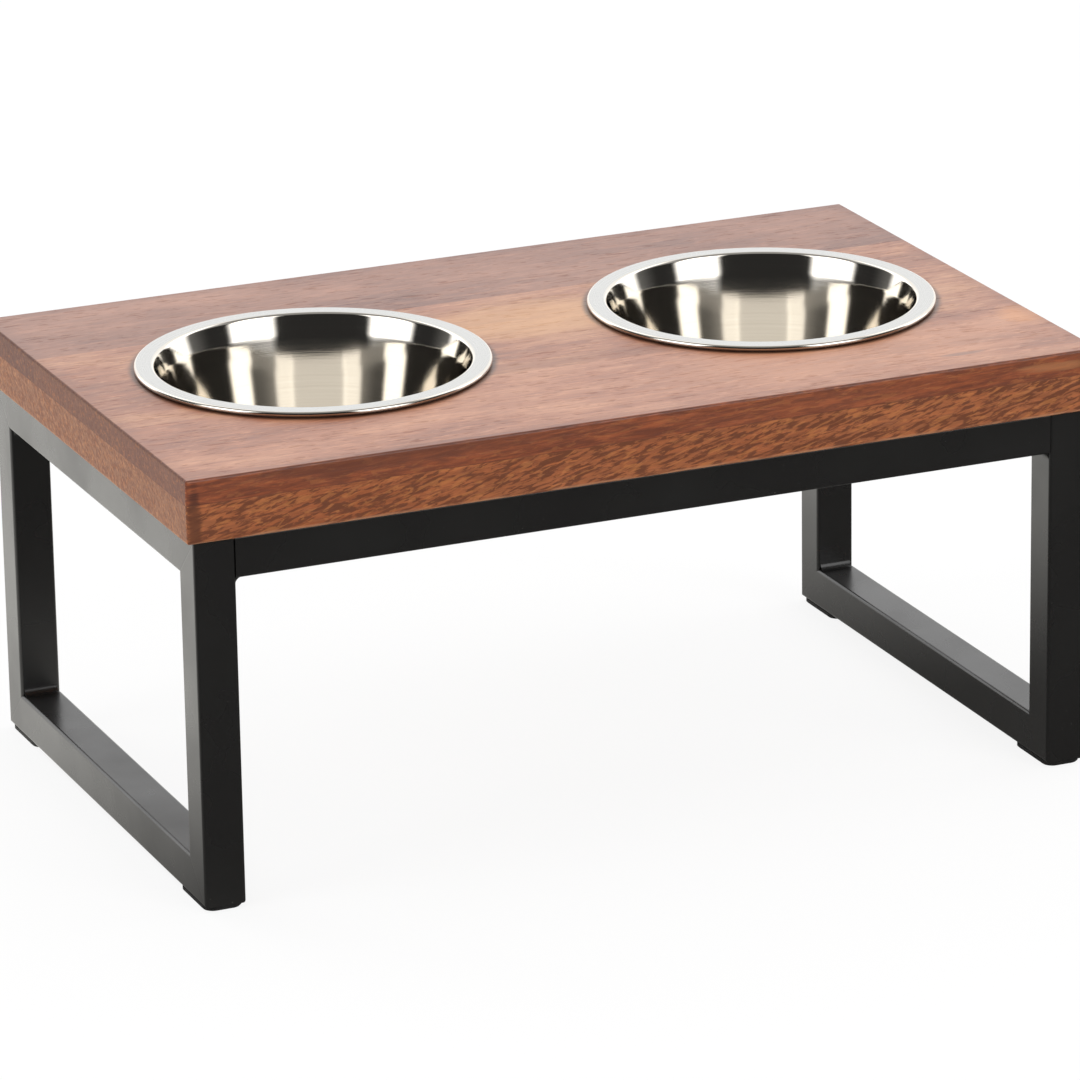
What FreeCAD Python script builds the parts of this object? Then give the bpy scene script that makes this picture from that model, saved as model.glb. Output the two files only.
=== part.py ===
import FreeCAD, Part
import math
import os

# Raised feeding stand: a glued wood top on a welded square-tube frame, with two lift-out steel bowls.
# Millimetres, +Z up. The origin is on the floor, under the middle of the top. +X is the stand's right.

# Wood top: two glued layers, each edge-glued from lengthwise boards. Its length and width follow from the
# wood left round the bowl holes, which sit a little right of the middle.
left_margin = 50.8
bowl_gap = 101.6
right_margin = 42.8
side_margin = 80.8
upper_layer = 15.0
lower_layer = 23.4
eased_edge = 1.6
hole_lip_chamfer = 1.0

# How far the bowl holes reach into the outer boards of each layer
upper_front_bite = 27.2
upper_rear_bite = 14.2
lower_front_bite = 3.2
lower_rear_bite = 12.2

# Frame: square steel tube, how far the top overhangs it, and its welds
tube_side = 25.4
tube_wall = 1.6
tube_corner = 2.0
loop_height = 224.2
end_overhang = 5.0
side_overhang = 4.2
weld_leg = 4.5
weld_end_inset = 2.2

# Foot pads under the loops' corners
foot_length = 45.0
foot_width = 24.0
foot_height = 3.0
foot_corner = 7.0
foot_bevel = 0.8
foot_end_inset = 1.2

# Screws that hold the top down, and the holes that they pass through
screw_shank = 4.6
screw_reach = 21.0
screw_point = 6.0
screw_head = 9.0
screw_head_height = 2.8
screw_head_bevel = 1.2
screw_hole_clearance = 0.4
pilot_clearance = 0.05
access_hole = 12.0
side_screw_inset = 30.4
rail_screw_inset = 111.6

# Bowls: pressed sheet with a flat flange, a tight rolled rim and a flared band above the drawn wall.
mouth_diameter = 190.0
flange_width = 12.4
rim_roll = 3.6
bowl_sheet = 0.8
mouth_bend = 1.8
band_depth = 11.5
band_lean_deg = 19.0
wall_lean_deg = 12.3
bowl_depth = 80.0
base_bend = 14.0
seat_clearance = 0.2
hole_clearance = 1.4

# Every cut runs past its piece by this much
overrun = 10.0

# Levels and places that follow from the sizes above
frame_top = foot_height + loop_height
upper_underside = frame_top + lower_layer
top_face = upper_underside + upper_layer
rim_diameter = mouth_diameter + 2 * flange_width
hole_radius = mouth_diameter / 2 + bowl_sheet + hole_clearance
top_length = left_margin + bowl_gap + right_margin + 4 * hole_radius
top_width = 2 * side_margin + 2 * hole_radius
bowl_places = {
    "left": left_margin + hole_radius - top_length / 2,
    "right": top_length / 2 - right_margin - hole_radius,
}
loop_outer_x = top_length / 2 - end_overhang
loop_outer_y = top_width / 2 - side_overhang
loop_inner_x = loop_outer_x - tube_side
loop_inner_y = loop_outer_y - tube_side
sides = {"left": -1, "right": 1}
ends = {"front": -1, "rear": 1}

X_AXIS = FreeCAD.Vector(1, 0, 0)
Y_AXIS = FreeCAD.Vector(0, 1, 0)
Z_AXIS = FreeCAD.Vector(0, 0, 1)
PARALLEL_COSINE = math.cos(math.radians(1))
HOLLOW_THROAT_SHARE = 1 - math.sqrt(0.5)


def vec(x, y, z):
    return FreeCAD.Vector(x, y, z)


def at_angle(centre, radius, degrees):
    """A point round a centre in the XZ plane, its angle measured from +X towards +Z."""
    angle = math.radians(degrees)
    return centre + vec(radius * math.cos(angle), 0, radius * math.sin(angle))


def box_between(low, high):
    """A box given by its lowest and highest corners."""
    size = high - low
    return Part.makeBox(size.x, size.y, size.z, low)


def upright_hole(radius, x, y, z_from, z_to):
    """A cylinder along Z, used as a drill."""
    return Part.makeCylinder(radius, z_to - z_from, vec(x, y, z_from))


def edges_along(shape, axis):
    """The straight edges that run along an axis."""
    found = []
    for edge in shape.Edges:
        run = edge.Vertexes[-1].Point - edge.Vertexes[0].Point
        if run.Length > 0 and abs(run.normalize().dot(axis)) > PARALLEL_COSINE:
            found.append(edge)
    return found


def turned(outline, x, y):
    """A closed outline in the XZ plane turned about the Z axis, then set at a place in the plan.

    Each item of the outline is the end of a line, or the middle and the end of an arc.
    """
    here = outline[0]
    edges = []
    for item in outline[1:] + outline[:1]:
        if isinstance(item, tuple):
            middle, end = item
            edges.append(Part.Arc(here, middle, end).toShape())
        else:
            end = item
            edges.append(Part.LineSegment(here, end).toShape())
        here = end
    solid = Part.Face(Part.Wire(edges)).revolve(vec(0, 0, 0), Z_AXIS, 360)
    solid.translate(vec(x, y, 0))
    return solid


def screw_places():
    """The plan position of each screw: two along each top bar and two along each rail."""
    bar_x = loop_outer_x - tube_side / 2
    rail_y = loop_outer_y - tube_side / 2
    places = []
    for right in sides.values():
        for rear in ends.values():
            places.append((right * bar_x, rear * (loop_inner_y - side_screw_inset)))
            places.append((right * (loop_inner_x - rail_screw_inset), rear * rail_y))
    return places


def pilot_hole(x, y):
    """A hole for one screw's shank and point, up from the underside of the top."""
    radius = screw_shank / 2 + pilot_clearance
    tip = frame_top - tube_wall + screw_reach + pilot_clearance
    straight = upright_hole(radius, x, y, frame_top - overrun, tip - screw_point)
    point = Part.makeCone(radius, 0, screw_point, vec(x, y, tip - screw_point))
    return straight.fuse(point)


def glued_top():
    """The whole top after gluing: eased edges, two bowl holes with a broken lip, and the pilot holes."""
    corner = vec(top_length / 2, top_width / 2, 0)
    top = box_between(vec(0, 0, frame_top) - corner, vec(0, 0, top_face) + corner)
    top = top.makeFillet(eased_edge, top.Edges)
    for x in bowl_places.values():
        top = top.cut(upright_hole(hole_radius, x, 0, frame_top - overrun, top_face + overrun))
        lip_from = vec(x, 0, top_face - hole_lip_chamfer)
        top = top.cut(Part.makeCone(hole_radius, hole_radius + hole_lip_chamfer, hole_lip_chamfer, lip_from))
    for x, y in screw_places():
        top = top.cut(pilot_hole(x, y))
    return top


def layer_boards(layer, top, z_from, z_to, front_bite, rear_bite):
    """One layer's boards: a front and a rear board, and a middle one that the bowl holes divide in three."""
    end_x = top_length / 2
    edge_y = top_width / 2
    left_hole = bowl_places["left"]
    right_hole = bowl_places["right"]
    front_joint = front_bite - hole_radius
    rear_joint = hole_radius - rear_bite
    plan = {
        "front_board": (-end_x, end_x, -edge_y, front_joint),
        "rear_board": (-end_x, end_x, rear_joint, edge_y),
        "left_block": (-end_x, left_hole, front_joint, rear_joint),
        "center_block": (left_hole, right_hole, front_joint, rear_joint),
        "right_block": (right_hole, end_x, front_joint, rear_joint),
    }
    boards = {}
    for board, (x_from, x_to, y_from, y_to) in plan.items():
        space = box_between(vec(x_from, y_from, z_from), vec(x_to, y_to, z_to))
        boards[layer + "_" + board] = top.common(space)
    return boards


def wood_boards():
    """Every board of both layers."""
    top = glued_top()
    upper = layer_boards("upper", top, upper_underside, top_face, upper_front_bite, upper_rear_bite)
    lower = layer_boards("lower", top, frame_top, upper_underside, lower_front_bite, lower_rear_bite)
    return {**upper, **lower}


def square_tube(length):
    """A length of hollow tube along +X, with its section in the first quadrant of Y and Z."""
    outer = Part.makeBox(length, tube_side, tube_side)
    outer = outer.makeFillet(tube_corner, edges_along(outer, X_AXIS))
    bore_side = tube_side - 2 * tube_wall
    bore = Part.makeBox(length, bore_side, bore_side, vec(0, tube_wall, tube_wall))
    bore_corner = tube_corner - tube_wall
    if bore_corner > 0:
        bore = bore.makeFillet(bore_corner, edges_along(bore, X_AXIS))
    return outer.cut(bore)


def mitred_tube(length):
    """A tube along +X with both ends cut at 45 degrees, so that its +Z side is the short one."""
    corners = [
        vec(0, 0, 0),
        vec(length, 0, 0),
        vec(length - tube_side, 0, tube_side),
        vec(tube_side, 0, tube_side),
        vec(0, 0, 0),
    ]
    between_mitres = Part.Face(Part.makePolygon(corners)).extrude(vec(0, tube_side, 0))
    return square_tube(length).common(between_mitres)


def placed(tube, along, inward, corner):
    """A tube set at a corner, running along one axis, with its short side facing inward."""
    across = inward.cross(along)
    result = tube.copy()
    result.Placement = FreeCAD.Placement(corner, FreeCAD.Rotation(along, across, inward, "XZY"))
    return result


def drilled(tube):
    """A tube under the top with the screws' clearance holes above and their access holes below."""
    middle = frame_top - tube_side / 2
    clearance_radius = screw_shank / 2 + screw_hole_clearance
    for x, y in screw_places():
        tube = tube.cut(upright_hole(clearance_radius, x, y, middle, frame_top + overrun))
        tube = tube.cut(upright_hole(access_hole / 2, x, y, frame_top - tube_side - overrun, middle))
    return tube


def loop_tubes(side_name, side):
    """One side loop: two legs and two bars of mitred tube, drilled for the screws along the top."""
    bar = mitred_tube(2 * loop_outer_y)
    leg = mitred_tube(loop_height)
    left_face = min(side * loop_outer_x, side * loop_inner_x)
    right_face = left_face + tube_side
    top_bar = placed(bar, Y_AXIS, -Z_AXIS, vec(left_face, -loop_outer_y, frame_top))
    return {
        side_name + "_top_bar": drilled(top_bar),
        side_name + "_bottom_bar": placed(bar, Y_AXIS, Z_AXIS, vec(right_face, -loop_outer_y, foot_height)),
        side_name + "_front_leg": placed(leg, Z_AXIS, Y_AXIS, vec(left_face, -loop_outer_y, foot_height)),
        side_name + "_rear_leg": placed(leg, Z_AXIS, -Y_AXIS, vec(right_face, loop_outer_y, foot_height)),
    }


def rail(end):
    """A tube between the loops, level with their top bars and flush with their legs."""
    tube = square_tube(2 * loop_inner_x)
    low_y = min(end * loop_outer_y, end * loop_inner_y)
    tube.translate(vec(-loop_inner_x, low_y, frame_top - tube_side))
    return drilled(tube)


def weld(corner, first_wall, second_wall):
    """A hollow fillet weld across a tube's width, in the corner of two walls that run along two axes."""
    run = first_wall.cross(second_wall)
    length = tube_side - 2 * weld_end_inset
    start = corner - run * (length / 2)
    first_toe = start + first_wall * weld_leg
    second_toe = start + second_wall * weld_leg
    throat = start + (first_wall + second_wall) * (weld_leg * HOLLOW_THROAT_SHARE)
    edges = [
        Part.LineSegment(start, first_toe).toShape(),
        Part.Arc(first_toe, throat, second_toe).toShape(),
        Part.LineSegment(second_toe, start).toShape(),
    ]
    return Part.Face(Part.Wire(edges)).extrude(run * length)


def loop_welds(side):
    """The welds in a loop's four inner corners."""
    x = side * (loop_outer_x - tube_side / 2)
    beads = []
    for end in ends.values():
        y = end * loop_inner_y
        beads.append(weld(vec(x, y, foot_height + tube_side), Y_AXIS * -end, Z_AXIS))
        beads.append(weld(vec(x, y, frame_top - tube_side), Y_AXIS * -end, -Z_AXIS))
    return Part.makeCompound(beads)


def rail_welds():
    """The welds at the rails' ends: one under each end against the leg, one behind it against the bar."""
    beads = []
    for side in sides.values():
        for end in ends.values():
            x = side * loop_inner_x
            under = vec(x, end * (loop_outer_y - tube_side / 2), frame_top - tube_side)
            behind = vec(x, end * loop_inner_y, frame_top - tube_side / 2)
            beads.append(weld(under, X_AXIS * -side, -Z_AXIS))
            beads.append(weld(behind, X_AXIS * -side, Y_AXIS * -end))
    return Part.makeCompound(beads)


def foot(side, end):
    """A thin pad with rounded corners under one corner of a loop, its floor edge bevelled."""
    middle_x = side * (loop_outer_x - tube_side / 2)
    middle_y = end * (loop_outer_y - foot_end_inset - foot_length / 2)
    middle = vec(middle_x, middle_y, 0)
    half = vec(foot_width / 2, foot_length / 2, 0)
    pad = box_between(middle - half, middle + half + vec(0, 0, foot_height))
    pad = pad.makeFillet(foot_corner, edges_along(pad, Z_AXIS))
    floor_edges = [edge for edge in pad.Edges if edge.BoundBox.ZMax < foot_bevel]
    return pad.makeChamfer(foot_bevel, floor_edges)


def screw(x, y):
    """A wood screw, head down, its bevelled head against the inside of a tube's upper wall."""
    seat = frame_top - tube_wall
    head = screw_head / 2
    shank = screw_shank / 2
    outline = [
        vec(0, 0, seat - screw_head_height),
        vec(head - screw_head_bevel, 0, seat - screw_head_height),
        vec(head, 0, seat - screw_head_height + screw_head_bevel),
        vec(head, 0, seat),
        vec(shank, 0, seat),
        vec(shank, 0, seat + screw_reach - screw_point),
        vec(0, 0, seat + screw_reach),
    ]
    return turned(outline, x, y)


def down_wall(lean_deg):
    """The direction down a wall that leans in towards the axis, and its normal into the bowl."""
    lean = math.radians(lean_deg)
    return vec(-math.sin(lean), 0, -math.cos(lean)), vec(-math.cos(lean), 0, math.sin(lean))


def under_corner(corner, first_normal, second_normal):
    """The under face's corner at a corner of the upper face, one sheet away from both of its walls."""
    return corner - (first_normal + second_normal) * (bowl_sheet / (1 + first_normal.dot(second_normal)))


def arc_between(centre, radius, first_deg, last_deg):
    """The middle and the end of an arc in the XZ plane."""
    return at_angle(centre, radius, (first_deg + last_deg) / 2), at_angle(centre, radius, last_deg)


def bowl(x):
    """A pressed bowl: rolled rim, flat flange, flared band, a steeper drawn wall and a flat base."""
    rim_top = top_face + seat_clearance + rim_roll
    floor = rim_top - bowl_depth
    down_band, from_band = down_wall(band_lean_deg)
    down_side, from_side = down_wall(wall_lean_deg)

    roll = rim_roll / 2
    roll_centre = vec(rim_diameter / 2 - roll, 0, rim_top - roll)
    roll_start_deg = -180 - math.degrees(math.asin((roll - bowl_sheet) / roll))
    mouth_round = mouth_bend + bowl_sheet
    mouth_centre = vec(mouth_diameter / 2 + mouth_round, 0, rim_top - mouth_round)
    mouth_last_deg = 180 - band_lean_deg
    band_end = mouth_centre + from_band * mouth_round + down_band * band_depth
    base_centre_z = floor + base_bend
    wall_run = (band_end.z + base_bend * from_side.z - base_centre_z) / -down_side.z
    base_centre = band_end + down_side * wall_run + from_side * base_bend
    base_under = base_bend + bowl_sheet

    outline = [
        at_angle(roll_centre, roll, roll_start_deg),
        arc_between(roll_centre, roll, roll_start_deg, 90),
        at_angle(mouth_centre, mouth_round, 90),
        arc_between(mouth_centre, mouth_round, 90, mouth_last_deg),
        band_end,
        at_angle(base_centre, base_bend, -wall_lean_deg),
        arc_between(base_centre, base_bend, -wall_lean_deg, -90),
        vec(0, 0, floor),
        vec(0, 0, floor - bowl_sheet),
        at_angle(base_centre, base_under, -90),
        arc_between(base_centre, base_under, -90, -wall_lean_deg),
        under_corner(band_end, from_band, from_side),
        at_angle(mouth_centre, mouth_bend, mouth_last_deg),
        arc_between(mouth_centre, mouth_bend, mouth_last_deg, 90),
    ]
    return turned(outline, x, 0)


nodes = wood_boards()
for side_name, side in sides.items():
    nodes.update(loop_tubes(side_name, side))
    nodes[side_name + "_loop_welds"] = loop_welds(side)
    nodes[side_name + "_bowl"] = bowl(bowl_places[side_name])
    for end_name, end in ends.items():
        nodes[side_name + "_" + end_name + "_foot"] = foot(side, end)
for end_name, end in ends.items():
    nodes[end_name + "_rail"] = rail(end)
nodes["rail_welds"] = rail_welds()
nodes["top_screws"] = Part.makeCompound([screw(x, y) for x, y in screw_places()])

os.makedirs("parts", exist_ok=True)
for name, shape in nodes.items():
    shape.exportStep("parts/" + name + ".step")
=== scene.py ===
import math

import bpy
import numpy as np
from mathutils import Matrix, Vector


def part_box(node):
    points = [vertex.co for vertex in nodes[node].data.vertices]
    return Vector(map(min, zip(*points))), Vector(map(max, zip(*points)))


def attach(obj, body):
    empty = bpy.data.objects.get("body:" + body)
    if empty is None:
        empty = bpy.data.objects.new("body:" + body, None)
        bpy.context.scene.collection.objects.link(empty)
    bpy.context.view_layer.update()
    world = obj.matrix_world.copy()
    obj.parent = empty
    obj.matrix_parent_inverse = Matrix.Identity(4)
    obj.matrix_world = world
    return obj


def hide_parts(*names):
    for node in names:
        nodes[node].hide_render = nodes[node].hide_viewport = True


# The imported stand: a welded tube frame, a glued wood top and two bowls, in metres. +X is the stand's right,
# +Y its rear and +Z up, with the floor at zero.
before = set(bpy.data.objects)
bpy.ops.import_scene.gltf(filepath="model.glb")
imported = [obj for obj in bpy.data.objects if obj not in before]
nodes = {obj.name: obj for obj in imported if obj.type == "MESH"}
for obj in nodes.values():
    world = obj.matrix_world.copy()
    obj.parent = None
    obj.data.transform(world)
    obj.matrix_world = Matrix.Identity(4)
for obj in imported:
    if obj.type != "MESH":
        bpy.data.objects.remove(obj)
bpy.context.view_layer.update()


# The two side loops and the rails between them: square steel tube with mitred, ground corners, sprayed satin
# black. The paint has a faint orange peel, hides the mitres almost wholly, and is rubbed through in small
# spots.
class Socket:
    """A shader value. Arithmetic on it adds one Math node for each operator."""

    def __init__(self, finish, socket):
        self.finish = finish
        self.socket = socket

    def math(self, operation, first, second=0.0):
        """One Math node on two values."""
        return self.finish.node("ShaderNodeMath", {"operation": operation}, {0: first, 1: second})

    def __add__(self, other):
        return self.math("ADD", self, other)

    def __radd__(self, other):
        return self.math("ADD", other, self)

    def __sub__(self, other):
        return self.math("SUBTRACT", self, other)

    def __rsub__(self, other):
        return self.math("SUBTRACT", other, self)

    def __mul__(self, other):
        return self.math("MULTIPLY", self, other)

    def __rmul__(self, other):
        return self.math("MULTIPLY", other, self)

    def __truediv__(self, other):
        return self.math("DIVIDE", self, other)

    def __rtruediv__(self, other):
        return self.math("DIVIDE", other, self)

    def __pow__(self, other):
        return self.math("POWER", self, other)

    def __abs__(self):
        return self.math("ABSOLUTE", self)

    def least(self, other):
        """The lesser of two values."""
        return self.math("MINIMUM", self, other)

    def most(self, other):
        """The greater of two values."""
        return self.math("MAXIMUM", self, other)


class Finish:
    """The node tree of one finish, of a material or of the world."""

    def __init__(self, owner):
        owner.use_nodes = True
        self.owner = owner
        self.tree = owner.node_tree
        self.tree.nodes.clear()

    def node(self, kind, settings, inputs, output=0):
        """Adds any node: its settings are set first, then its sockets get values or links."""
        made = self.tree.nodes.new(kind)
        for name, value in settings.items():
            if name == "stops":
                ramp = made.color_ramp.elements
                while len(ramp) < len(value):
                    ramp.new(1.0)
                for stop, (place, colour) in zip(ramp, value):
                    stop.position = place
                    stop.color = (*colour, 1.0)
            else:
                setattr(made, name, value)
        for key, value in inputs.items():
            if isinstance(value, Socket):
                self.tree.links.new(value.socket, made.inputs[key])
            else:
                made.inputs[key].default_value = value
        return Socket(self, made.outputs[output])

    def place(self):
        """Where a point of the piece is, in metres."""
        return self.node("ShaderNodeTexCoord", {}, {}, "Object")

    def axis(self, vector, name):
        """One part of a vector: X, Y or Z."""
        return self.node("ShaderNodeSeparateXYZ", {}, {"Vector": vector}, name)

    def grained(self, vector, size, turn=(0, 0, 0), shift=(0, 0, 0)):
        """A pattern's own coordinates, for features of this size in metres, turned and shifted."""
        sockets = {"Vector": vector, "Location": shift, "Rotation": turn, "Scale": size}
        return self.node("ShaderNodeMapping", {"vector_type": "TEXTURE"}, sockets)

    def noise(self, vector, scale=1.0, detail=3.0, rough=0.55, warp=0.0):
        """Cloudy noise, about 0.5 in the middle."""
        sockets = {"Vector": vector, "Scale": scale, "Detail": detail, "Roughness": rough,
                   "Distortion": warp}
        return self.node("ShaderNodeTexNoise", {}, sockets, "Fac")

    def step(self, value, low, high):
        """0 below low, 1 above high, and smooth between them; low may be the greater."""
        settings = {"interpolation_type": "SMOOTHSTEP"}
        sockets = {"Value": value, "From Min": low, "From Max": high}
        return self.node("ShaderNodeMapRange", settings, sockets)

    def mix(self, share, first, second):
        """A colour from first to second."""
        settings = {"data_type": "RGBA"}
        return self.node("ShaderNodeMix", settings, {0: share, 6: first, 7: second}, 2)

    def bump(self, height, distance, strength=1.0):
        """A normal tilted by a height, where a height of 1 stands this many metres up."""
        sockets = {"Height": height, "Distance": distance, "Strength": strength}
        return self.node("ShaderNodeBump", {}, sockets)

    def surface(self, shader):
        """Ends the tree with its output node."""
        of_world = isinstance(self.owner, bpy.types.World)
        made = self.tree.nodes.new("ShaderNodeOutputWorld" if of_world else "ShaderNodeOutputMaterial")
        self.tree.links.new(shader.socket, made.inputs["Surface"])


def shade(red, green, blue):
    """A colour given as a paint chart gives it, from 0 to 255, as the linear colour that shaders take."""
    parts = np.array([red, green, blue]) / 255
    linear = np.where(parts <= 0.04045, parts / 12.92, ((parts + 0.055) / 1.055) ** 2.4)
    return (*linear.tolist(), 1.0)


def dress(names, material):
    """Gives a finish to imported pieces."""
    for name in names:
        nodes[name].data.materials.clear()
        nodes[name].data.materials.append(material)


TUBE_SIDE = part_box("front_rail")[1].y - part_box("front_rail")[0].y
LOOP_OUT_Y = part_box("left_top_bar")[1].y
LOOP_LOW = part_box("left_bottom_bar")[0].z
LOOP_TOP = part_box("left_top_bar")[1].z
CORNER_FADE = 0.0006
MITRE_LINE = (0.0009, 0.0002)
PEEL_HEIGHT = 0.00010
LACQUER_IOR = 1.5
PAINT_BLACK = (shade(20, 19, 19), shade(28, 27, 26))
PAINT_DUST = shade(92, 90, 86)
RUBBED_GREY = shade(128, 124, 118)


def black_paint(name, peel, rub):
    """Satin black: cloudy gloss, orange peel, dust, faint mitre lines and small spots rubbed to grey."""
    paint = Finish(bpy.data.materials.new(name))
    place = paint.place()
    y, z = paint.axis(place, "Y"), paint.axis(place, "Z")
    from_end = LOOP_OUT_Y - abs(y)
    from_edge = (z - LOOP_LOW).least(LOOP_TOP - z)
    in_corner = paint.step(from_end.most(from_edge), TUBE_SIDE + CORNER_FADE, TUBE_SIDE)
    mitre = in_corner * paint.step(abs(from_end - from_edge), *MITRE_LINE)
    cloud = paint.noise(place, 14.0, 3.0, 0.5)
    grit = paint.noise(place, 1500.0, 2.0, 0.6)
    dust = paint.step(paint.noise(place, 620.0, 2.0, 0.5), 0.74, 0.80)
    chips = paint.step(paint.noise(place, 150.0, 3.0, 0.65), 0.745, 0.76)
    colour = paint.mix(cloud, *PAINT_BLACK)
    colour = paint.mix(dust * 0.35, colour, PAINT_DUST)
    colour = paint.mix(chips * rub, colour, RUBBED_GREY)
    rough = 0.2 + paint.step(cloud, 0.25, 0.75) * 0.16 + dust * 0.15
    height = grit * peel - mitre * 1.5 + cloud * 0.4
    sockets = {"Base Color": colour, "Roughness": rough, "Normal": paint.bump(height, PEEL_HEIGHT, 0.3),
               "IOR": LACQUER_IOR}
    paint.surface(paint.node("ShaderNodeBsdfPrincipled", {}, sockets))
    return paint.owner


TUBES = [side + "_" + tube for side in ("left", "right")
         for tube in ("top_bar", "bottom_bar", "front_leg", "rear_leg")] + ["front_rail", "rear_rail"]
dress(TUBES, black_paint("satin_black_paint", 0.35, 0.5))


# Fillet welds in the inner corners of the loops and at the rails' ends: laid by hand, brushed and painted
# over with the tube, so the bead's ripples still show under the paint.
dress(["left_loop_welds", "right_loop_welds", "rail_welds"], black_paint("painted_weld_bead", 1.0, 0.2))


# Four pads under the loops' corners, which keep the tube off the floor: punched from black sheet rubber with
# a fine moulded grain, and glued on.
RUBBER_GRAIN_HEIGHT = 0.0001
RUBBER_BLACK = (shade(17, 17, 17), shade(40, 39, 38))


def rubber(name):
    """Matt black rubber with a fine moulded grain and a dusty bloom."""
    pad = Finish(bpy.data.materials.new(name))
    place = pad.place()
    bloom = pad.noise(place, 60.0, 4.0, 0.6)
    grain = pad.noise(place, 2600.0, 2.0, 0.6)
    colour = pad.mix(pad.step(bloom, 0.35, 0.75), *RUBBER_BLACK)
    sockets = {"Base Color": colour, "Roughness": 0.7 + bloom * 0.2,
               "Normal": pad.bump(grain, RUBBER_GRAIN_HEIGHT, 0.5)}
    pad.surface(pad.node("ShaderNodeBsdfPrincipled", {}, sockets))
    return pad.owner


FEET = [side + "_" + end + "_foot" for side in ("left", "right") for end in ("front", "rear")]
dress(FEET, rubber("foot_rubber"))


# The wood top: two layers of edge-glued hardwood boards, planed, sanded and sprayed with a satin lacquer.
# Every board has its own tone. Fibres, streaks and pores run along the stand's length.
GLUE_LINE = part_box("upper_front_board")[0].z
TOP_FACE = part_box("upper_front_board")[1].z
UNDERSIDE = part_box("lower_front_board")[0].z
EDGE_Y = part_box("upper_rear_board")[1].y
END_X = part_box("upper_front_board")[1].x
RIMS = [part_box(side + "_bowl") for side in ("left", "right")]
PORE_HEIGHT = 0.00012
RIM_SHADOW_INSET = 0.0010

# Each mark of the top fades out at the first distance from its own line or face, and is full at the second.
FRONT_SKIN = (0.0020, 0.0008)
END_SKIN = (0.0016, 0.0004)
TOP_SKIN = (0.0020, 0.0010)
RIM_SHADOW_FADE = (0.0055, 0.0012)
GLUE_SEAM = (0.00042, 0.00012)
WORN_ARRIS = (0.0022, 0.0010)
DARKER_NEAR_EDGE = (0.014, 0.001)
EASED_EDGE = (0.0016, 0.0005)
EASED_DEPTH = (0.0018, 0.0012)

PORE_BROWN = shade(96, 50, 34)
EDGE_BROWN = (shade(100, 36, 4), shade(178, 82, 18))
FLECK_BROWN = shade(88, 40, 18)
HAIR_YELLOW = shade(208, 130, 64)
# The painted shadow round each bowl's rim takes this brown.
RIM_SHADOW_BROWN = shade(44, 24, 18)
GLUE_BROWN = shade(70, 36, 24)
WORN_WOOD = shade(192, 140, 102)
ARRIS_BROWN = shade(80, 40, 26)


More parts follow.
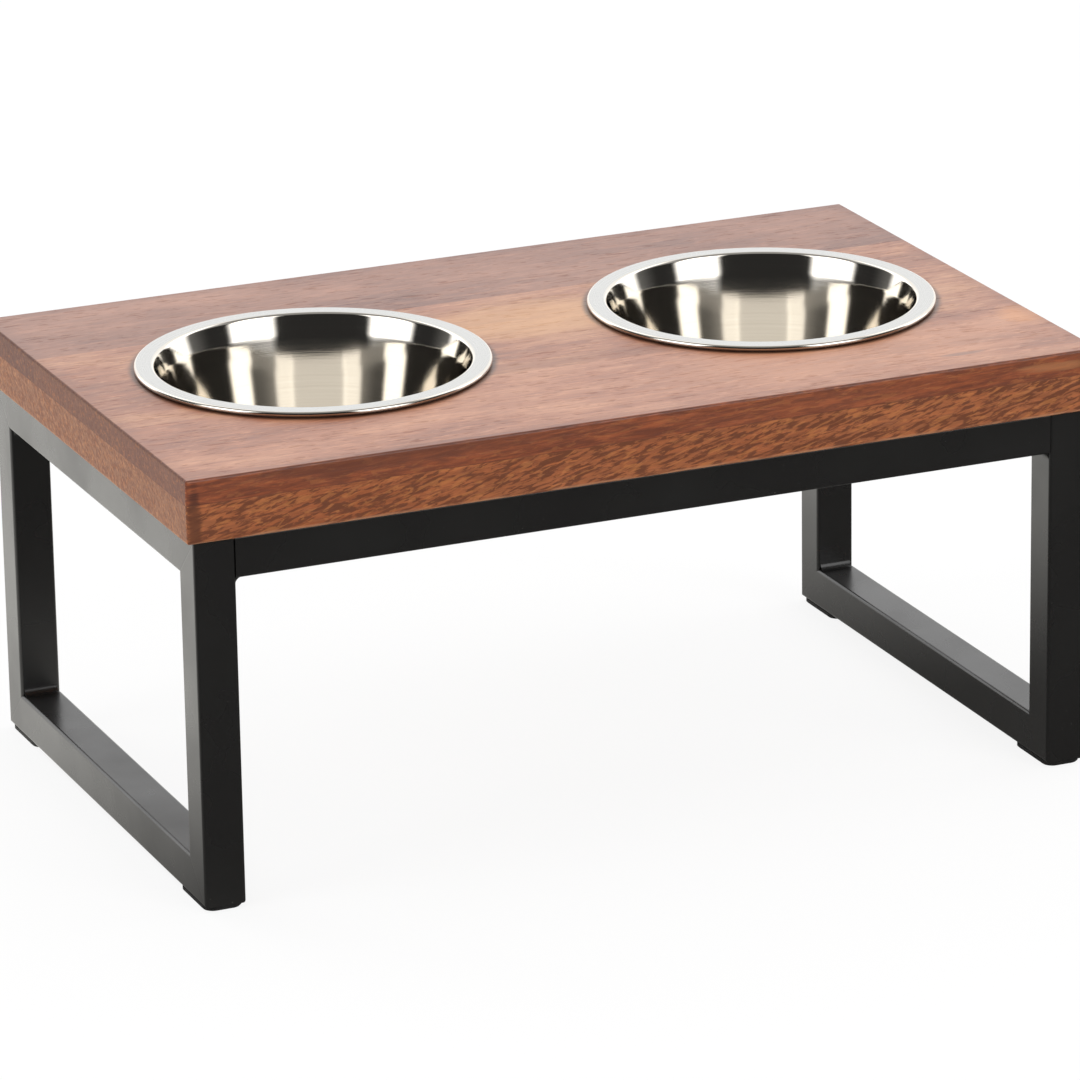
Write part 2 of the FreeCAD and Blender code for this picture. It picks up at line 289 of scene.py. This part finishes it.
def lacquered_wood(name, seed, light, middle, dark, end_grain_and_shade_tint, flecks, slant, marks):
    """Hardwood under satin lacquer, its grain worked out in the solid so that faces meet at the edges."""
    wood = Finish(bpy.data.materials.new(name))
    place = wood.place()
    x, y, z = (wood.axis(place, axis) for axis in "XYZ")
    shift = (seed * 0.37, seed * 0.11, seed * 0.23)

    def grain(length, width, turn=(0, 0, 0), detail=3.0, warp=0.0, height=None):
        """Noise with features of this length, width and height in metres, leaning by these angles."""
        size = (length, width, height or width)
        return wood.noise(wood.grained(place, size, turn, shift), 1.0, detail, 0.6, warp)

    patch = grain(0.12, 0.05, detail=3.0)
    broad = grain(0.20, 0.015, (0, 0.02, 0.03), 4.0, 0.5)
    streak = grain(0.030, 0.0024, (0, -0.04, -0.03), 4.0, 0.6)
    fibre = grain(0.013, 0.0008, (0, 0.03, 0.02))
    pores = wood.step(grain(0.012, 0.0021, (0, 0, -0.05), 2.0, 0.4, 0.0010), 0.56, 0.68)
    dashes = wood.step(grain(0.014, 0.0024, (0.2, 0, 0.05), 3.0, 0.6, 0.0012), 0.54, 0.66)
    fleck = wood.step(grain(0.011, 0.0050, (0.6, slant, 0.1), 4.0, 0.6, 0.0017), 0.44, 0.56)
    hair = wood.step(grain(0.013, 0.0040, (0.6, slant, 0.1), 3.0, 0.6, 0.0023), 0.54, 0.62)
    front = wood.step(y + EDGE_Y, *FRONT_SKIN)
    end = wood.step(END_X - abs(x), *END_SKIN)
    under_top = TOP_FACE - z
    tone = patch + (broad - 0.5) * 0.6 + (streak - 0.5) * 0.55
    stops = [(0.20, dark[:3]), (0.5, middle[:3]), (0.80, light[:3])]
    colour = wood.node("ShaderNodeValToRGB", {"stops": stops}, {"Fac": tone}, "Color")
    colour = wood.mix(wood.step(fibre, 0.5, 0.8) * 0.5, colour, dark)
    colour = wood.mix(dashes * 0.5, colour, light)
    colour = wood.mix(pores * 0.3, colour, PORE_BROWN)
    # The end faces take the end tint: the end grain's own darker colour, deepened as painted shade on the
    # ends.
    colour = wood.mix(end * 0.8, colour, end_grain_and_shade_tint)
    rays = wood.step(grain(0.030, 0.0014, detail=4.0, warp=0.5, height=0.0034), 0.5, 0.62)
    colour = wood.mix(end * rays * (0.12 + flecks * 0.6), colour, light)
    edge_grain = wood.mix(wood.step(streak, 0.3, 0.7), *EDGE_BROWN)
    colour = wood.mix(front * (0.88 - 0.4 * flecks), colour, edge_grain)
    colour = wood.mix(fleck * (flecks + front * (0.2 + 0.33 * flecks)), colour, FLECK_BROWN)
    colour = wood.mix(hair * (front * (0.2 + 0.5 * flecks) + end * 0.3), colour, HAIR_YELLOW)
    for middle_x, middle_y, middle_z, reach_x, reach_y, reach_z, tint, share in marks:
        across = ((x - middle_x) / reach_x) ** 2.0 + ((y - middle_y) / reach_y) ** 2.0
        away = across + ((z - middle_z) / reach_z) ** 2.0 + (streak - 0.5) * 2.0
        colour = wood.mix(wood.step(away, 1.1, 0.1) * share, colour, tint)
    # Painted shadow: a dark ring on the top round each bowl's rim, where the rim would shade the wood.
    for low, high in RIMS:
        across, along = x - (low.x + high.x) / 2, y - (low.y + high.y) / 2
        from_rim = (across * across + along * along) ** 0.5 - (high.x - low.x) / 2
        rim_shadow = wood.step(abs(from_rim + RIM_SHADOW_INSET), *RIM_SHADOW_FADE) * wood.step(under_top, *TOP_SKIN)
        colour = wood.mix(rim_shadow * 0.75, colour, RIM_SHADOW_BROWN)
    glue = wood.step(abs(z - GLUE_LINE), *GLUE_SEAM)
    colour = wood.mix(glue * 0.5, colour, GLUE_BROWN)
    worn = wood.step(z - UNDERSIDE, *WORN_ARRIS) * wood.step(streak, 0.35, 0.55)
    colour = wood.mix(worn * 0.8, colour, WORN_WOOD)
    # The wood darkens towards the edges of the top and over the side faces.
    from_edge = (EDGE_Y - abs(y)).least(END_X - abs(x))
    colour = wood.mix(wood.step(from_edge, *DARKER_NEAR_EDGE) * 0.3, colour, dark)
    # A darker brown line along the eased arris, broken by the fibres: partly worn lacquer, partly painted
    # shade.
    eased = wood.step(abs(under_top - from_edge), *EASED_EDGE) * wood.step(under_top, *EASED_DEPTH)
    colour = wood.mix(eased * wood.step(fibre, 0.35, 0.55) * 0.7, colour, ARRIS_BROWN)
    rough = 0.33 + pores * 0.15 + (streak - 0.5) * 0.14 + end * 0.32
    height = (fibre - 0.5) * 0.35 - pores * 0.8 - glue * 0.6 - fleck * flecks * 0.5
    sockets = {"Base Color": colour, "Roughness": rough, "Normal": wood.bump(height, PORE_HEIGHT, 0.5),
               "IOR": LACQUER_IOR}
    wood.surface(wood.node("ShaderNodeBsdfPrincipled", {}, sockets))
    return wood.owner


# The colours of each kind of board: light, middle, dark, and the tint of its end faces: the end grain's own
# darker colour, deepened as painted shade.
ROSY = (shade(200, 142, 108), shade(168, 108, 79), shade(124, 72, 53), shade(86, 52, 39))
MAUVE = (shade(172, 120, 96), shade(143, 93, 72), shade(108, 64, 51), shade(90, 55, 41))
TAN = (shade(200, 146, 108), shade(163, 103, 74), shade(125, 73, 52), shade(86, 52, 39))
CORE = (shade(216, 150, 98), shade(198, 126, 78), shade(160, 94, 56), shade(116, 92, 76))

# Each mark on a board: its middle and its reach along X, Y and Z, its colour and its share.
FRONT_MARKS = [
    (0.150, -0.125, TOP_FACE, 0.150, 0.045, 0.010, shade(212, 152, 116), 0.35),
    (0.285, -0.095, TOP_FACE, 0.020, 0.022, 0.030, shade(206, 136, 78), 0.6),
    (0.214, -0.152, TOP_FACE, 0.017, 0.0034, 0.004, shade(98, 80, 76), 0.5),
    (0.262, -EDGE_Y, TOP_FACE - 0.0076, 0.030, 0.010, 0.0035, shade(206, 142, 88), 0.5),
    (0.0048 - END_X, -EDGE_Y, TOP_FACE - 0.0256, 0.0042, 0.010, 0.030, shade(54, 18, 9), 0.85),
    (-0.150, -EDGE_Y, TOP_FACE - 0.0036, 0.150, 0.010, 0.007, shade(104, 54, 34), 0.6),
]
MIDDLE_MARKS = [
    (0.010, 0.030, TOP_FACE, 0.090, 0.045, 0.020, shade(214, 160, 104), 0.5),
    (0.000, -0.060, TOP_FACE, 0.170, 0.010, 0.010, shade(134, 80, 56), 0.5),
]
CORE_MARKS = [
    (0.150, -EDGE_Y, GLUE_LINE - 0.0021, 0.0035, 0.010, 0.0018, shade(58, 28, 18), 0.9),
    (0.0048 - END_X, -EDGE_Y, UNDERSIDE + 0.0088, 0.0050, 0.010, 0.030, shade(54, 18, 9), 0.85),
]

# The boards: finish, seed of the grain, colours, share of flecks and their slant, marks, and pieces.
BOARDS = [
    ("rosy_front_board", 1.0, ROSY, 0.10, -0.12, FRONT_MARKS, ["upper_front_board"]),
    ("mauve_rear_board", 2.0, MAUVE, 0.10, 0.05, [], ["upper_rear_board"]),
    ("tan_middle_board", 3.0, TAN, 0.10, 0.05, MIDDLE_MARKS,
     ["upper_left_block", "upper_center_block", "upper_right_block"]),
    ("core_front_board", 4.0, CORE, 0.6, -0.30, CORE_MARKS, ["lower_front_board"]),
    ("core_rear_board", 5.0, CORE, 0.7, 0.25, [], ["lower_rear_board"]),
    ("core_middle_board", 6.0, CORE, 0.7, 0.3, [],
     ["lower_left_block", "lower_center_block", "lower_right_block"]),
]
for finish_name, seed, colours, flecks, slant, marks, pieces in BOARDS:
    dress(pieces, lacquered_wood(finish_name, seed, *colours, flecks, slant, marks))


# Eight wood screws, driven up through the tubes into the lower layer: steel, plated with zinc that has gone
# a little hazy.
HAZE_HEIGHT = 0.00005
ZINC_GREY = (shade(176, 178, 182), shade(206, 204, 196))


def zinc(name):
    """Bright zinc plate with a cloudy, slightly blue haze."""
    plate = Finish(bpy.data.materials.new(name))
    place = plate.place()
    haze = plate.noise(place, 420.0, 4.0, 0.6)
    colour = plate.mix(haze, *ZINC_GREY)
    sockets = {"Base Color": colour, "Metallic": 1.0, "Roughness": 0.28 + haze * 0.2,
               "Normal": plate.bump(haze, HAZE_HEIGHT, 0.4)}
    plate.surface(plate.node("ShaderNodeBsdfPrincipled", {}, sockets))
    return plate.owner


dress(["top_screws"], zinc("zinc_plated_screw"))


# The two bowls: pressed from thin stainless sheet, with the rim rolled under, the flange left satin and the
# inside polished on a lathe, so that fine rings run round it. Each hangs by its rim in its hole.
SHEET = 0.0008
RIM_ROLL = 0.0018
MOUTH_RADIUS = 0.095
MOUTH_BEND = 0.0018
BAND_DEPTH = 0.0115
BAND_LEAN = math.radians(19)
WALL_LEAN = math.radians(12.3)
BOWL_DEPTH = 0.080
BASE_BEND = 0.014
CREASE = 0.0006
TURNS = 288
LATHE_HEIGHT = 0.00002
SATIN_FROM_MOUTH = (0.0010, 0.0026)
SATIN_PAST_ROLL = 0.0006
LATHE_GREY = (shade(208, 202, 192), shade(223, 218, 209))
SATIN_GREY = shade(193, 193, 191)


def arc(centre, radius, first, last, count):
    """Points round a centre, from the first angle to the last."""
    angle = np.linspace(first, last, count)[:, None]
    return centre + radius * np.hstack([np.cos(angle), np.sin(angle)])


def run(first, last, count):
    """Points along a straight run, its ends included."""
    share = np.linspace(0, 1, count)[:, None]
    return first + (last - first) * share


def bowl_profile(rim_radius, rim_top):
    """The section's radius and height, from the floor's middle inside, over the rim, to its middle below.

    The last number of each run or arc is its count of points.
    """
    def wall(lean):
        """The way down a wall that leans by this angle, and the way into the bowl from it."""
        return np.array([-math.sin(lean), -math.cos(lean)]), np.array([-math.cos(lean), math.sin(lean)])

    def under(corner, first, second):
        """The sheet's outer corner below an inner one, between walls with these normals."""
        return corner - (first + second) * (SHEET / (1 + first @ second))

    down_band, from_band = wall(BAND_LEAN)
    down_side, from_side = wall(WALL_LEAN)
    floor = rim_top - BOWL_DEPTH
    mouth_round = MOUTH_BEND + SHEET
    mouth = np.array([MOUTH_RADIUS + mouth_round, rim_top - mouth_round])
    roll = np.array([rim_radius - RIM_ROLL, rim_top - RIM_ROLL])
    band_end = mouth + from_band * mouth_round + down_band * BAND_DEPTH
    wall_run = (band_end[1] + BASE_BEND * from_side[1] - floor - BASE_BEND) / -down_side[1]
    base = band_end + down_side * wall_run + from_side * BASE_BEND
    quarter = math.pi / 2
    roll_end = -math.pi - math.asin((RIM_ROLL - SHEET) / RIM_ROLL)
    inside = [
        run(np.array([0.0, floor]), np.array([base[0], floor]), 14)[:-1],
        arc(base, BASE_BEND, -quarter, -WALL_LEAN, 28),
        run(base - BASE_BEND * from_side, band_end + CREASE * down_side, 24)[1:],
        run(band_end - CREASE * down_band, mouth + from_band * mouth_round, 12),
        arc(mouth, mouth_round, math.pi - BAND_LEAN, quarter, 14)[1:],
        run(mouth + np.array([0, mouth_round]), roll + np.array([0, RIM_ROLL]), 6)[1:],
        arc(roll, RIM_ROLL, quarter, roll_end, 30)[1:],
    ]
    flange_under = np.array([mouth[0], rim_top - SHEET])
    below = [
        run(inside[-1][-1], flange_under, 6)[1:],
        arc(mouth, MOUTH_BEND, quarter, math.pi - BAND_LEAN, 12)[1:],
        run(mouth + from_band * MOUTH_BEND, under(band_end, from_band, from_side), 12)[1:],
        run(under(band_end, from_band, from_side), base - from_side * (BASE_BEND + SHEET), 20)[1:],
        arc(base, BASE_BEND + SHEET, -WALL_LEAN, -quarter, 28)[1:],
        run(np.array([base[0], floor - SHEET]), np.array([0.0, floor - SHEET]), 14)[1:],
    ]
    return np.vstack(inside + below)


def polished_steel(name, middle, rim_radius, rim_top):
    """Stainless steel: rings of lathe polish inside, a satin flange, and a few wiping marks."""
    steel = Finish(bpy.data.materials.new(name))
    place = steel.grained(steel.place(), (1, 1, 1), shift=(middle.x, middle.y, rim_top))
    x, y, z = (steel.axis(place, axis) for axis in "XYZ")
    radius = (x * x + y * y) ** 0.5
    rings = steel.node("ShaderNodeCombineXYZ", {}, {"X": x * 9.0, "Y": y * 9.0, "Z": (radius + z) * 1300.0})
    lathe = steel.noise(rings, 1.0, 3.0, 0.65)
    wipe = steel.noise(steel.grained(place, (0.04, 0.04, 0.008)), 1.0, 4.0, 0.6, 0.4)
    roll = rim_radius - RIM_ROLL
    past_mouth = steel.step(radius - MOUTH_RADIUS, *SATIN_FROM_MOUTH)
    flange = past_mouth * steel.step(radius, roll + SATIN_PAST_ROLL, roll) * steel.step(z, -RIM_ROLL, -SHEET)
    colour = steel.mix(lathe, *LATHE_GREY)
    colour = steel.mix(flange, colour, SATIN_GREY)
    rough = 0.035 + lathe * 0.045 + wipe * 0.03 + flange * 0.2
    height = lathe * 0.5 + wipe * 0.2
    sockets = {"Base Color": colour, "Metallic": 1.0, "Roughness": rough,
               "Normal": steel.bump(height, LATHE_HEIGHT, 0.8)}
    steel.surface(steel.node("ShaderNodeBsdfPrincipled", {}, sockets))
    return steel.owner


def turned_bowl(name, body):
    """The section carried round the bowl's axis: x = r cos a, y = r sin a, with one point at each pole."""
    low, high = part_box(name)
    middle = (low + high) / 2
    rim_radius = (high.x - low.x) / 2
    section = bowl_profile(rim_radius, high.z)
    radius, height = section[1:-1, 0], section[1:-1, 1]
    angle = np.arange(TURNS) * (2 * math.pi / TURNS)
    ring = np.stack([np.outer(radius, np.cos(angle)) + middle.x, np.outer(radius, np.sin(angle)) + middle.y,
                     np.repeat(height[:, None], TURNS, 1)], -1)
    poles = np.array([[middle.x, middle.y, section[0, 1]], [middle.x, middle.y, section[-1, 1]]])
    points = np.vstack([ring.reshape(-1, 3), poles])
    rows, here = len(radius), np.arange(TURNS)
    after = (here + 1) % TURNS
    row = (np.arange(rows - 1) * TURNS)[:, None]
    quads = np.stack([row + TURNS + here, row + TURNS + after, row + after, row + here], -1).reshape(-1, 4)
    first_fan = np.stack([here, after, np.full(TURNS, rows * TURNS)], -1)
    edge = (rows - 1) * TURNS
    last_fan = np.stack([edge + after, edge + here, np.full(TURNS, rows * TURNS + 1)], -1)
    mesh = bpy.data.meshes.new(name + "_pressed")
    mesh.from_pydata(points.tolist(), [], quads.tolist() + first_fan.tolist() + last_fan.tolist())
    mesh.polygons.foreach_set("use_smooth", np.ones(len(mesh.polygons), bool))
    bowl = bpy.data.objects.new(name + "_pressed", mesh)
    bpy.context.scene.collection.objects.link(bowl)
    bowl.data.materials.append(polished_steel(name + "_polished_steel", middle, rim_radius, high.z))
    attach(bowl, body)
    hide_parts(name)


turned_bowl("left_bowl", "left_bowl")
turned_bowl("right_bowl", "right_bowl")


# The studio: a white floor, which glows white for the camera and as a painted reflection in glossy surfaces,
# and a dome of soft light. Beyond the stand the dome is a white backdrop, with soft panels at either side of
# it and of the camera. It is pale overhead and dark behind the camera.
YAW = math.radians(23.12)
PITCH = math.radians(-18.709)
ROLL = math.radians(-0.926)
CAMERA_REACH = 3.97826
AIM = Vector((0.001505, 0.0, 0.133011))
LENS = 216.37
SENSOR = 36.0
CAMERA_CLIP = 100.0
ASIDE = (math.cos(YAW), -math.sin(YAW), 0.0)
MIRRORED = (-math.sin(YAW), math.cos(YAW), 0.0)
SET_YAW = YAW + math.radians(5.5)
SET_AHEAD = (math.sin(SET_YAW), math.cos(SET_YAW), 0.0)
SET_ASIDE = (math.cos(SET_YAW), -math.sin(SET_YAW), 0.0)
FLOOR_REACH = 30.0
FLOOR_FADE = (-0.14, 0.42)
# The floor's glow in reflections, a painted reflection: dark in front of the stand, bright behind it.
FLOOR_MIRRORED = ((0.20, 0.195, 0.185, 1.0), (1.74, 1.71, 1.62, 1.0))
FLOOR_PAINT = (0.93, 0.93, 0.93, 1.0)
FLOOR_GLOW_SHARE = 0.88
WHITE = (1.0, 1.0, 1.0, 1.0)
CEILING_FADE = (52, 68)
CEILING_LIGHT = 1.42
CEILING_MIRRORED = 0.40

# Each soft panel: its headings to either side of the set's way ahead, the softness of its sides, its lowest
# and its highest angle above the floor, all in degrees, and its light.
PANELS = [
    (-10, 42, 6, -60, 70, 1.15),
    (40.5, 68.5, 4, -40, 55, 1.9),
    (68, 107, 6, 29, 56, 0.4),
    (109, 143, 4, 9, 52, 3.0),
]


def against(finish, vector, direction):
    """How far a vector goes along a direction."""
    settings = {"operation": "DOT_PRODUCT"}
    return finish.node("ShaderNodeVectorMath", settings, {0: vector, 1: direction}, "Value")


def light_path(finish, name):
    """1 for rays of the named kind, 0 for others."""
    return finish.node("ShaderNodeLightPath", {}, {}, name)


def studio_dome():
    """The dome's light, by heading from the set's way ahead and by height above the floor, in degrees."""
    dome = Finish(bpy.data.worlds.new("studio_dome"))
    toward = dome.node("ShaderNodeTexCoord", {}, {}, "Generated")
    ahead, aside = against(dome, toward, SET_AHEAD), against(dome, toward, SET_ASIDE)
    heading = ahead.math("ARCTAN2", abs(aside), ahead) * (180 / math.pi)
    height = ahead.math("ARCSINE", dome.axis(toward, "Z")) * (180 / math.pi)
    light = 0.03 + dome.step(heading, 92, 66) * 0.16
    for low, high, soft, bottom, top, strength in PANELS:
        across = dome.step(heading, low - soft, low + soft) * dome.step(heading, high + soft, high - soft)
        upright = dome.step(height, bottom - 5, bottom + 5) * dome.step(height, top + 6, top - 6)
        light = light + across * upright * strength
    ceiling = dome.step(height, *CEILING_FADE)
    mirrored = light_path(dome, "Is Glossy Ray") * (CEILING_LIGHT - CEILING_MIRRORED)
    light = light * (1 - ceiling) + ceiling * (CEILING_LIGHT - mirrored)
    seen = light_path(dome, "Is Camera Ray")
    light = light * (1 - seen) + seen
    shader = dome.node("ShaderNodeBackground", {}, {"Color": WHITE, "Strength": light})
    dome.surface(shader)
    bpy.context.scene.world = dome.owner


def studio_floor():
    """A flat white sheet that mostly glows white for the camera. In reflections it glows as a painted
    reflection, bright behind the stand and dark in front, so the frame's left faces mirror bright and its
    front faces dark.
    """
    points = np.array([[-1, -1, 0], [1, -1, 0], [1, 1, 0], [-1, 1, 0]]) * FLOOR_REACH
    mesh = bpy.data.meshes.new("studio_floor")
    mesh.from_pydata(points.tolist(), [], [(0, 1, 2, 3)])
    floor = bpy.data.objects.new("studio_floor", mesh)
    bpy.context.scene.collection.objects.link(floor)
    sheet = Finish(bpy.data.materials.new("white_floor"))
    # Painted reflection: for glossy rays the floor glows, dark in front of the stand and bright behind it.
    beyond = sheet.step(against(sheet, sheet.place(), MIRRORED), *FLOOR_FADE)
    glossy = light_path(sheet, "Is Glossy Ray")
    mirrored = sheet.mix(beyond, *FLOOR_MIRRORED)
    colour = sheet.mix(glossy, WHITE, mirrored)
    glow = sheet.node("ShaderNodeEmission", {}, {"Color": colour, "Strength": 1.0})
    matt = sheet.node("ShaderNodeBsdfDiffuse", {}, {"Color": FLOOR_PAINT})
    share = light_path(sheet, "Is Camera Ray") * FLOOR_GLOW_SHARE + glossy
    sheet.surface(sheet.node("ShaderNodeMixShader", {}, {0: share, 1: matt, 2: glow}))
    mesh.materials.append(sheet.owner)


def studio_camera():
    """The photograph's camera, from its turn, its tilt, its roll and its distance from the stand."""
    ahead = Vector((math.sin(YAW) * math.cos(PITCH), math.cos(YAW) * math.cos(PITCH), math.sin(PITCH)))
    right = Vector(ASIDE)
    up = right.cross(ahead)
    level_right = right * math.cos(ROLL) + up * math.sin(ROLL)
    level_up = up * math.cos(ROLL) - right * math.sin(ROLL)
    data = bpy.data.cameras.new("studio_camera")
    data.sensor_width = SENSOR
    data.lens = LENS
    data.clip_end = CAMERA_CLIP
    camera = bpy.data.objects.new("studio_camera", data)
    bpy.context.scene.collection.objects.link(camera)
    turn = Matrix((level_right, level_up, -ahead)).transposed().to_4x4()
    camera.matrix_world = Matrix.Translation(AIM - ahead * CAMERA_REACH) @ turn
    bpy.context.scene.camera = camera


studio_dome()
studio_floor()
studio_camera()
bpy.context.scene.view_settings.view_transform = "Standard"
